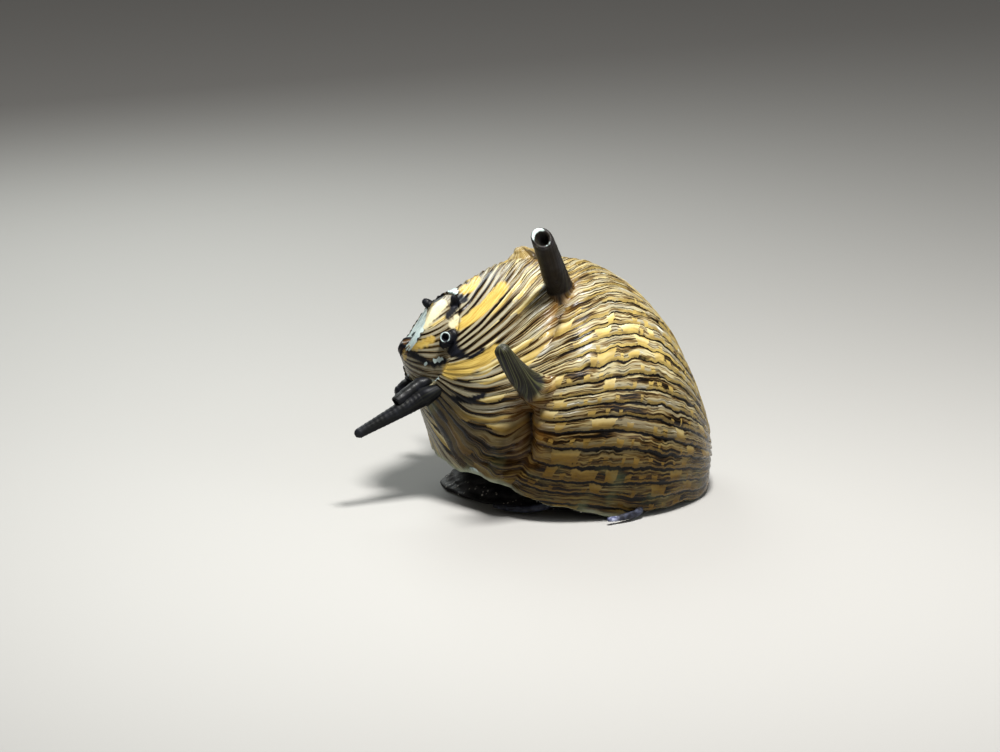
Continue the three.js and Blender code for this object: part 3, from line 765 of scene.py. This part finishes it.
# Horns.
def stalk(name, growth0, row0, way, length, width, tip, bend=(0, 0, 0), hollow=0.0, point=bodyPoint,
          masksAt=bodyMasks, skirt=2.0, cut=None, twist=0.7, ringStep=0.5, ringDepth=0.02, blackFrom=0.1,
          blackness=0.95, around=72, wornTip=0.9, lump=0.05, amber=0.75, amberKept=1.0, swell=1.0, gold=0.0):
    # A tube that flares into the shell, so the growth lines climb from the shell onto it.
    g0, r0 = np.array(float(growth0)), np.array(float(row0))
    root = point(g0, r0)
    acrossGrowth = point(g0 + 0.5, r0) - point(g0 - 0.5, r0)
    acrossRow = (point(g0, r0 + 0.005) - point(g0, r0 - 0.005)) / 0.01
    perDegree, perRow = np.linalg.norm(acrossGrowth), np.linalg.norm(acrossRow)
    lean, drift, theta = unit(way), np.array(bend), circle(around)

    def ringFrame(s):
        centre = root + lean * length * s + drift * s * s
        axis = unit(lean * length + 2 * drift * s)
        first = unit(acrossGrowth - axis * (acrossGrowth @ axis))
        second = unit(acrossRow - axis * (acrossRow @ axis) - first * (acrossRow @ first))
        return centre, axis, first, second

    def tube(s, size, ahead=0.0, turn=0.0):
        centre, axis, first, second = ringFrame(s)
        angle = theta + turn
        slit = 1 - 0.16 * bell(np.angle(np.exp(1j * angle)), 0.45) * (1 - s)
        ring = first * np.cos(angle)[:, None] + second * np.sin(angle)[:, None]
        spot = centre + ring * (size * slit)[:, None] + axis * ahead
        if cut is not None:
            facing, end = unit(cut), ringFrame(1.0)[0]
            slanted = spot - axis * (((spot - end) @ facing) / (axis @ facing) - ahead)[:, None]
            spot = spot + (slanted - spot) * smooth(0.6, 1.0, s)
        return spot

    def shellRing(reach, turn=0.0):
        growth = g0 + reach * np.cos(theta + turn) / perDegree
        row = np.clip(r0 + reach * np.sin(theta + turn) / perRow, 0.0, 0.99)
        return growth, row

    base, centrePhase = width * 0.5, ribPhase(g0, r0)
    rings, masks = [], []

    def add(spots, growth, row, spread, strength, black, worn):
        values = masksAt(growth, row)
        values["phase"] = centrePhase + (values["phase"] - centrePhase) * spread
        values["strength"] = values["strength"] * strength
        values["black"] = np.maximum(values["black"], black)
        raised = strength < 0.999
        values["amber"] = values["amber"] * (amberKept if raised else 1)
        values["amber"] = np.maximum(values["amber"], amber * raised * (1 - black))
        values["worn"] = np.maximum(worn, 0.9 * marked("nacre", spots))
        values["gold"] = np.maximum(values["gold"] * strength, gold * raised)
        values["cream"] = values["cream"] * strength
        rings.append(spots)
        masks.append(values)

    for q in np.linspace(0, 1, 9):
        growth, row = shellRing(base * (skirt - (skirt - 1.0) * q))
        low = point(growth, row)
        high = tube(0.16 * q, np.full(around, base * 1.02))
        spots = low + (high - low) * q ** 2.2
        if q == 0:
            spots = spots + unit(root - lean - spots) * 0.1
        add(spots, growth, row, 1.0, 1.0 - 0.55 * q, blackness * smooth(0.55, 1.5, q - blackFrom), 0.0)
    for s in np.linspace(0.19, 1.0, max(14, int(length * 9))):
        size = base + (tip * 0.5 - base) * s ** swell
        ringed = 1 + ringDepth * np.sin(2 * math.pi * s * length / ringStep + 1.5 * math.sin(5 * s))
        wobble = 1 + lump * (grain(theta / math.pi * 2 + growth0, theta * 0 + s * length * 0.8) - 0.5)
        turn = twist * (s - 0.16)
        growth, row = shellRing(base)
        spots = tube(s, size * ringed * wobble, turn=turn)
        black = blackness * smooth(0.3, 0.9, 0.45 + (s - blackFrom) * 3)
        chipped, spread = wornTip * smooth(0.86, 1.0, s) * 0.6, 1 + 1.8 * float(smooth(0.16, 0.6, s))
        add(spots, growth, row, spread, 0.32, black, chipped)
    turn = twist * 0.84
    growth, row = shellRing(base)
    chips = (0.04 + lump) * (grain(theta * 1.6 + growth0, theta * 0 + 3.3) - 0.5)
    if hollow:
        inner = ((0.94, 0.05, 0.9), (0.82, 0.07, 1.0), (0.68, 0.02, 0.9), (0.58, -0.12, 0.5),
                 (0.5, -0.6 * hollow, 0.0), (0.4, -hollow, 0.0), (0.12, -hollow * 1.05, 0.0))
    else:
        inner = ((0.95, 0.07, 0.8), (0.8, 0.17, 0.9), (0.55, 0.26, 1.0), (0.25, 0.3, 1.0), (0.06, 0.31, 1.0))
    for share, ahead, worn in inner:
        spots = tube(1.0, np.full(around, tip * 0.5 * share), ahead=ahead, turn=turn)
        spots = spots + ringFrame(1.0)[1] * (chips * share)[:, None]
        add(spots, growth, row, 2.8, 0.1, blackness, worn * wornTip)
    values = {label: np.array([m[label] for m in masks]) for label in masks[0]}
    return gridMesh(name, np.array(rings), values, wrap=True)


def closeEnds(work):
    bmesh.ops.holes_fill(work, edges=[e for e in work.edges if e.is_boundary], sides=0)


def knobPiece(index, turn, row, length, width, tip, hollow, pearl, blackness):
    growth, row = np.array(growthAt(turn, row)), np.array(row)
    spot = oldPoint(growth, row)
    out = np.cross(oldPoint(growth, row + 0.01) - spot, oldPoint(growth + 1.0, row) - spot)
    if out @ (spot - pole - along * ((spot - pole) @ along)) < 0:
        out = -out
    return stalk("knob%d" % index, growth, row, out, length, width * 0.9, tip, hollow=hollow,
                 point=oldPoint, masksAt=oldMasks, skirt=1.6, around=32, twist=0, ringDepth=0.03,
                 blackFrom=-1, wornTip=pearl, blackness=blackness)


def joined(pieces, name):
    with bpy.context.temp_override(active_object=pieces[0], selected_editable_objects=pieces):
        bpy.ops.object.join()
    pieces[0].name = name
    return pieces[0]


spirePiece = buildSpire()
spireKnobs = [knobPiece(i, *values) for i, values in enumerate(knobs)]
for knob in spireKnobs:
    raiseRibs(knob, spireFinish, *spire["knobRibs"])
apex = buildApex()
editMesh(apex, closeEnds)
apex.data.materials.append(spireFinish)
spirePiece = joined([spirePiece, apex] + spireKnobs, "spire")
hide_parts("shell_spire")
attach(spirePiece, "root")
print("spire", len(spirePiece.data.polygons))

hornRibs = (0.11, 0.004)     # heights of the ribs and the fine ribs
oldHorn = dict(point=oldPoint, masksAt=oldMasks, skirt=1.15, blackFrom=-1, blackness=1.0)
horns = {            # a horn's step is how many horns it lies behind the newest
    "horn_mid": dict(step=0, row=0.245, way=(-0.603, -0.541, 0.586), bend=(0.25, 0, 1.0), length=4.65,
                     width=2.3, tip=1.05, blackness=0.97, twist=1.3, skirt=1.5, ringDepth=0.0, amber=0.5,
                     wornTip=0.65, finish=ribbedFinish),
    "horn_top": dict(step=1, way=(-0.24, -0.42, 0.87), bend=(-0.1, -0.5, 0), length=5.65, width=1.95,
                     tip=1.42, hollow=0.8, cut=(0.05, -0.9, 0.55), skirt=2.1, ringDepth=0.008,
                     blackFrom=0.0, amber=0.5),
    "horn_crest": dict(step=2, way=(-0.3, 0.1, 0.9), length=1.15, width=2.9, tip=1.2,
                       skirt=2.2, blackness=0.0, wornTip=1.0, lump=0.3, amber=0.0, amberKept=0.25,
                       swell=3.0, gold=0.25, twist=0.0),
    "horn_back_upper": dict(step=3, way=(-0.25, 0.95, -0.15), bend=(-0.2, 0, 0.1), length=3.55, width=1.7,
                            tip=0.9, skirt=1.9),
    "horn_back_lower": dict(step=4, way=(-0.62, 0.75, -0.2), bend=(-0.2, 0, -0.1), length=2.5, width=1.4,
                            tip=0.9, hollow=0.5, skirt=1.9),
    "horn_left_long": dict(turn=-219, row=0.255, way=(-0.84, -0.34, -0.42), bend=(-0.15, 0, 0), length=6.15,
                           width=1.4, tip=0.7, ringStep=0.33, wornTip=0.3, **oldHorn),
    "horn_left_short": dict(turn=-215, row=0.2, way=(-0.78, -0.5, -0.42), bend=(0, -0.1, -0.1), length=2.55,
                            width=1.0, tip=0.85, hollow=0.45, wornTip=0.35, **oldHorn),
}
for node, values in horns.items():
    first, *others = node.split("_")
    row0, finish = values.pop("row", coil["hornRow"]), values.pop("finish", hornFinish)
    turn = values.pop("turn", None) or coil["hornTurn"] - values.pop("step") * coil["hornStep"]
    piece = stalk(first + "".join(map(str.title, others)), growthAt(turn, row0), row0, **values)
    raiseRibs(piece, finish, *hornRibs)
    editMesh(piece, closeEnds)
    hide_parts(node)
    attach(piece, "root")
print("horns", len(horns))

# Foot, head and feelers in one skin.
foot = {
    "x": 0.6, "y": 2.1,
    "left": 9.6, "right": 8.4, "front": 7.45, "back": 5.15,
    "heights": ((0.0, 0.965), (0.1, 1.0), (0.24, 0.995), (0.42, 0.95), (0.85, 0.9), (1.5, 0.8), (2.5, 0.68),
                (3.4, 0.58), (4.6, 0.45)),
    "voxel": 0.1,
}
head = {
    "x": 2.0, "y": -5.3,
    "width": 4.5, "length": 4.1, "height": 2.05,
    "floor": 0.3,
    "stations": ((0, 0.62, 0.8), (0.25, 0.8, 1.0), (0.5, 0.92, 0.98), (0.72, 1.0, 0.8), (0.9, 0.86, 0.6),
                 (1.0, 0.6, 0.34)),
}
feelers = {
    "left": (((3.2, -6.0, 1.25), (4.8, -6.3, 0.95), (5.1, -7.1, 0.5), (4.1, -8.1, 0.4), (2.9, -8.9, 0.38)),
             (0.36, 0.33, 0.29, 0.25, 0.17)),
    "right": (((0.8, -6.0, 1.25), (-0.8, -6.4, 0.95), (-2.4, -6.5, 0.5), (-3.9, -6.0, 0.42),
               (-5.1, -5.25, 0.38)), (0.36, 0.33, 0.28, 0.23, 0.16)),
}
eyes = {"left": (4.25, -4.7, 1.75), "right": (-0.25, -4.7, 1.75)}
eyeRadius = 0.28


def closedRings(name, rings):
    piece = gridMesh(name, np.array(rings), wrap=True)
    editMesh(piece, closeEnds)
    editMesh(piece, lambda work: bmesh.ops.recalc_face_normals(work, faces=work.faces))
    return piece


def softLine(knots, radii, count=40):
    # Catmull-Rom through the knots, with the radius eased along it.
    knots = np.array(knots)
    padded = np.vstack([2 * knots[0] - knots[1], knots, 2 * knots[-1] - knots[-2]])
    place = np.linspace(0, len(knots) - 1, count)
    first = np.minimum(place.astype(int), len(knots) - 2)
    f = (place - first)[:, None]
    a, b, c, d = (padded[first + step] for step in range(4))
    spots = 2 * b + (c - a) * f + (2 * a - 5 * b + 4 * c - d) * f * f + (3 * b - a - 3 * c + d) * f ** 3
    return 0.5 * spots, np.interp(place, range(len(radii)), radii)


def softTube(name, knots, radii, around=16):
    spots, sizes = softLine(knots, radii)
    way = unit(np.gradient(spots, axis=0))
    side = unit(np.cross(way, (0, 0, 1.0)))
    angle = circle(around)[:, None]
    rings = side[:, None] * np.cos(angle) + np.cross(side, way)[:, None] * np.sin(angle)
    return closedRings(name, spots[:, None] + rings * sizes[:, None, None])


def buildFlesh():
    angle = circle(180)
    c, s = np.cos(angle), np.sin(angle)
    wavy = 1 - 0.012 * (1 + np.sin(9 * angle) * 0.6 + np.sin(23 * angle + 1) * 0.4)
    rings = []
    for height, share in foot["heights"]:
        ripple = 1 + (wavy - 1) * (height < 0.8)
        x = foot["x"] + np.where(c < 0, foot["left"], foot["right"]) * share * ripple * c
        y = foot["y"] + np.where(s < 0, foot["front"], foot["back"]) * share * ripple * s
        lifted = height + (0.05 * np.sin(7 * angle + 2) + 0.03 * np.sin(17 * angle)) * (0.05 < height < 0.5)
        rings.append(np.stack([x, y, lifted + 0 * c], -1))
    parts = [closedRings("footPart", rings)]
    rings, angle = [], circle(40)
    for share, wide, tall in head["stations"]:
        half = head["height"] * tall / 2
        rings.append(np.stack([head["x"] + head["width"] * wide / 2 * np.cos(angle),
                               head["y"] + head["length"] * (0.5 - share) + 0 * angle,
                               head["floor"] + half + half * np.sin(angle)], -1))
    parts.append(closedRings("headPart", rings))
    for name, (knots, radii) in feelers.items():
        parts.append(softTube("feeler" + name, knots, radii))
    for name, spot in eyes.items():
        inward = unit([head["x"] - spot[0], -0.4, -1.1])
        knots = [spot + inward * deep for deep in (1.2, 0.6, -0.02)]
        parts.append(softTube("stalk" + name, knots, (0.55, 0.5, 0.36)))
    piece = joined(parts, "flesh")
    modifier = piece.modifiers.new("skin", "REMESH")
    modifier.mode = "VOXEL"
    modifier.voxel_size = foot["voxel"] * mm
    modifier = piece.modifiers.new("soft", "SMOOTH")
    modifier.factor = 0.5
    modifier.iterations = 4
    applied(piece)
    spots = np.array([v.co for v in piece.data.vertices]) / mm
    normals = np.array([v.normal for v in piece.data.vertices])
    wrinkle = grain(spots[:, 0] * 2.2, spots[:, 1] * 2.2 + spots[:, 2] * 3) - 0.5
    wrinkle += 0.5 * (grain(spots[:, 0] * 5 + 7, spots[:, 1] * 5 + spots[:, 2] * 6) - 0.5)
    lift = smooth(0.12, 0.4, spots[:, 2])
    spots = spots + normals * (0.07 * wrinkle * lift)[:, None]
    spots[:, 2] = np.maximum(spots[:, 2], 0.0)
    piece.data.vertices.foreach_set("co", single(spots * mm))
    slate = np.zeros(len(spots))
    for name, (knots, radii) in feelers.items():
        line, sizes = softLine(knots, radii)
        far = np.linalg.norm(spots[:, None, :] - line[None], axis=2)
        pale = smooth(0.78, 0.92, far.argmin(1) / len(line)) * (name == "left")
        slate = np.maximum(slate, (0.5 + 0.5 * pale) * (1 - smooth(0.38, 0.6, far.min(1))))
    piece.data.attributes.new("slate", "FLOAT", "POINT").data.foreach_set("value", single(slate))
    piece.data.shade_smooth()
    return piece


def fleshMaterial():
    material, shader = newMaterial("flesh")
    place, slate = objectPlace(), mask("slate")
    mottle = noisy(place, 700.0, 4.0, 0.6)
    skin = mixed(ramped(mottle, 0.4, 0.7), (0.006, 0.006, 0.007, 1), (0.030, 0.028, 0.028, 1))
    # Pale specks on the skin close to the floor.
    flecks = addNode("ShaderNodeTexVoronoi", {"Vector": place, "Scale": 3000.0}).outputs["Distance"]
    low = ramped(addNode("ShaderNodeSeparateXYZ", {0: place}).outputs[2], 0.0002, 0.0012, 1.0, 0.0)
    paleSpecks = times(ramped(flecks, 0.2, 0.28, 1.0, 0.0), low, ramped(noisy(place, 1300.0), 0.45, 0.55))
    skin = mixed(paleSpecks, skin, (0.55, 0.52, 0.46, 1))
    fine = noisy(place, 2600.0)
    blue = mixed(ramped(fine, 0.4, 0.65), (0.012, 0.013, 0.02, 1), (0.04, 0.045, 0.07, 1))
    tip = mixed(ramped(fine, 0.4, 0.6), (0.06, 0.07, 0.14, 1), (0.42, 0.45, 0.62, 1))
    skin = mixed(ramped(slate, 0.0, 0.5), skin, blue)
    bump = addNode("ShaderNodeBump", {"Height": mottle, "Strength": 0.5, "Distance": 0.00012})
    fed(shader, {"Base Color": mixed(ramped(slate, 0.5, 1.0), skin, tip), "Normal": bump.outputs[0],
                 "Roughness": ramped(mottle, 0.3, 0.7, 0.4, 0.65), "Coat Weight": 0.03,
                 "Specular IOR Level": 0.2})
    return material


flesh = buildFlesh()
flesh.data.materials.clear()
flesh.data.materials.append(fleshMaterial())
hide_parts("foot", "head", "tentacle_left", "tentacle_right")
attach(flesh, "root")
print("flesh", len(flesh.data.polygons))

eyeFinish, shader = newMaterial("eye")
black = mixed(noisy(objectPlace(), 3000.0), (0.002, 0.002, 0.003, 1), (0.014, 0.012, 0.014, 1))
fed(shader, {"Base Color": black, "Roughness": 0.12, "Coat Weight": 0.6})
for name, spot in eyes.items():
    eye = placed("eye" + name.title(), bpy.data.meshes.new("eye" + name.title()))
    editMesh(eye, lambda work: (
        bmesh.ops.create_icosphere(work, subdivisions=4, radius=eyeRadius * mm),
        bmesh.ops.translate(work, verts=work.verts, vec=Vector(spot) * mm)))
    eye.data.shade_smooth()
    eye.data.materials.append(eyeFinish)
    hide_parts("eye_" + name)
    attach(eye, "root")
print("eyes", len(eyes))

# Floor, lights and camera.
def addLight(name, place, aim, size, power, colour):
    lamp = bpy.data.lights.new(name, "AREA")
    lamp.size, lamp.energy, lamp.color = size * mm, power, colour
    light = placed(name, lamp)
    light.location = Vector(place) * mm
    light.rotation_euler = (Vector(aim) - Vector(place)).to_track_quat("-Z", "Y").to_euler()


pitch = math.radians(view["pitch"])
camera = placed("camera", bpy.data.cameras.new("camera"))
back = Vector((0, -math.cos(pitch), math.sin(pitch))) * view["distance"]
camera.location = (Vector(view["target"]) + back) * mm
camera.rotation_euler = (math.radians(90) - pitch, 0, 0)
camera.data.lens = view["lens"]
camera.data.sensor_width = view["sensor"]
camera.data.clip_start, camera.data.clip_end = 0.01, 10
bpy.context.scene.camera = camera
addLight("key", (12, -28, 115), (0, 0, 6), 24, 0.295, (1.0, 0.985, 0.95))
addLight("fill", (90, -60, 60), (0, 0, 6), 60, 0.03, (0.95, 0.97, 1.0))
addLight("back", (-40, 90, 70), (0, 0, 8), 60, 0.06, (0.95, 1.0, 0.97))
world = bpy.data.worlds.new("studio")
world.use_nodes = True
fed(world.node_tree.nodes["Background"], {"Color": (0.88, 0.85, 0.8, 1), "Strength": 0.115})
bpy.context.scene.world = world
bpy.context.scene.view_settings.view_transform = "Standard"
floorFinish, shader = newMaterial("floor")
fed(shader, {"Base Color": (0.36, 0.355, 0.345, 1), "Roughness": 0.6})
mesh = bpy.data.meshes.new("floor")
mesh.from_pydata([(-2, -2, 0), (2, -2, 0), (2, 2, 0), (-2, 2, 0)], [], [(0, 1, 2, 3)])
mesh.materials.append(floorFinish)
floor = placed("floor", mesh)
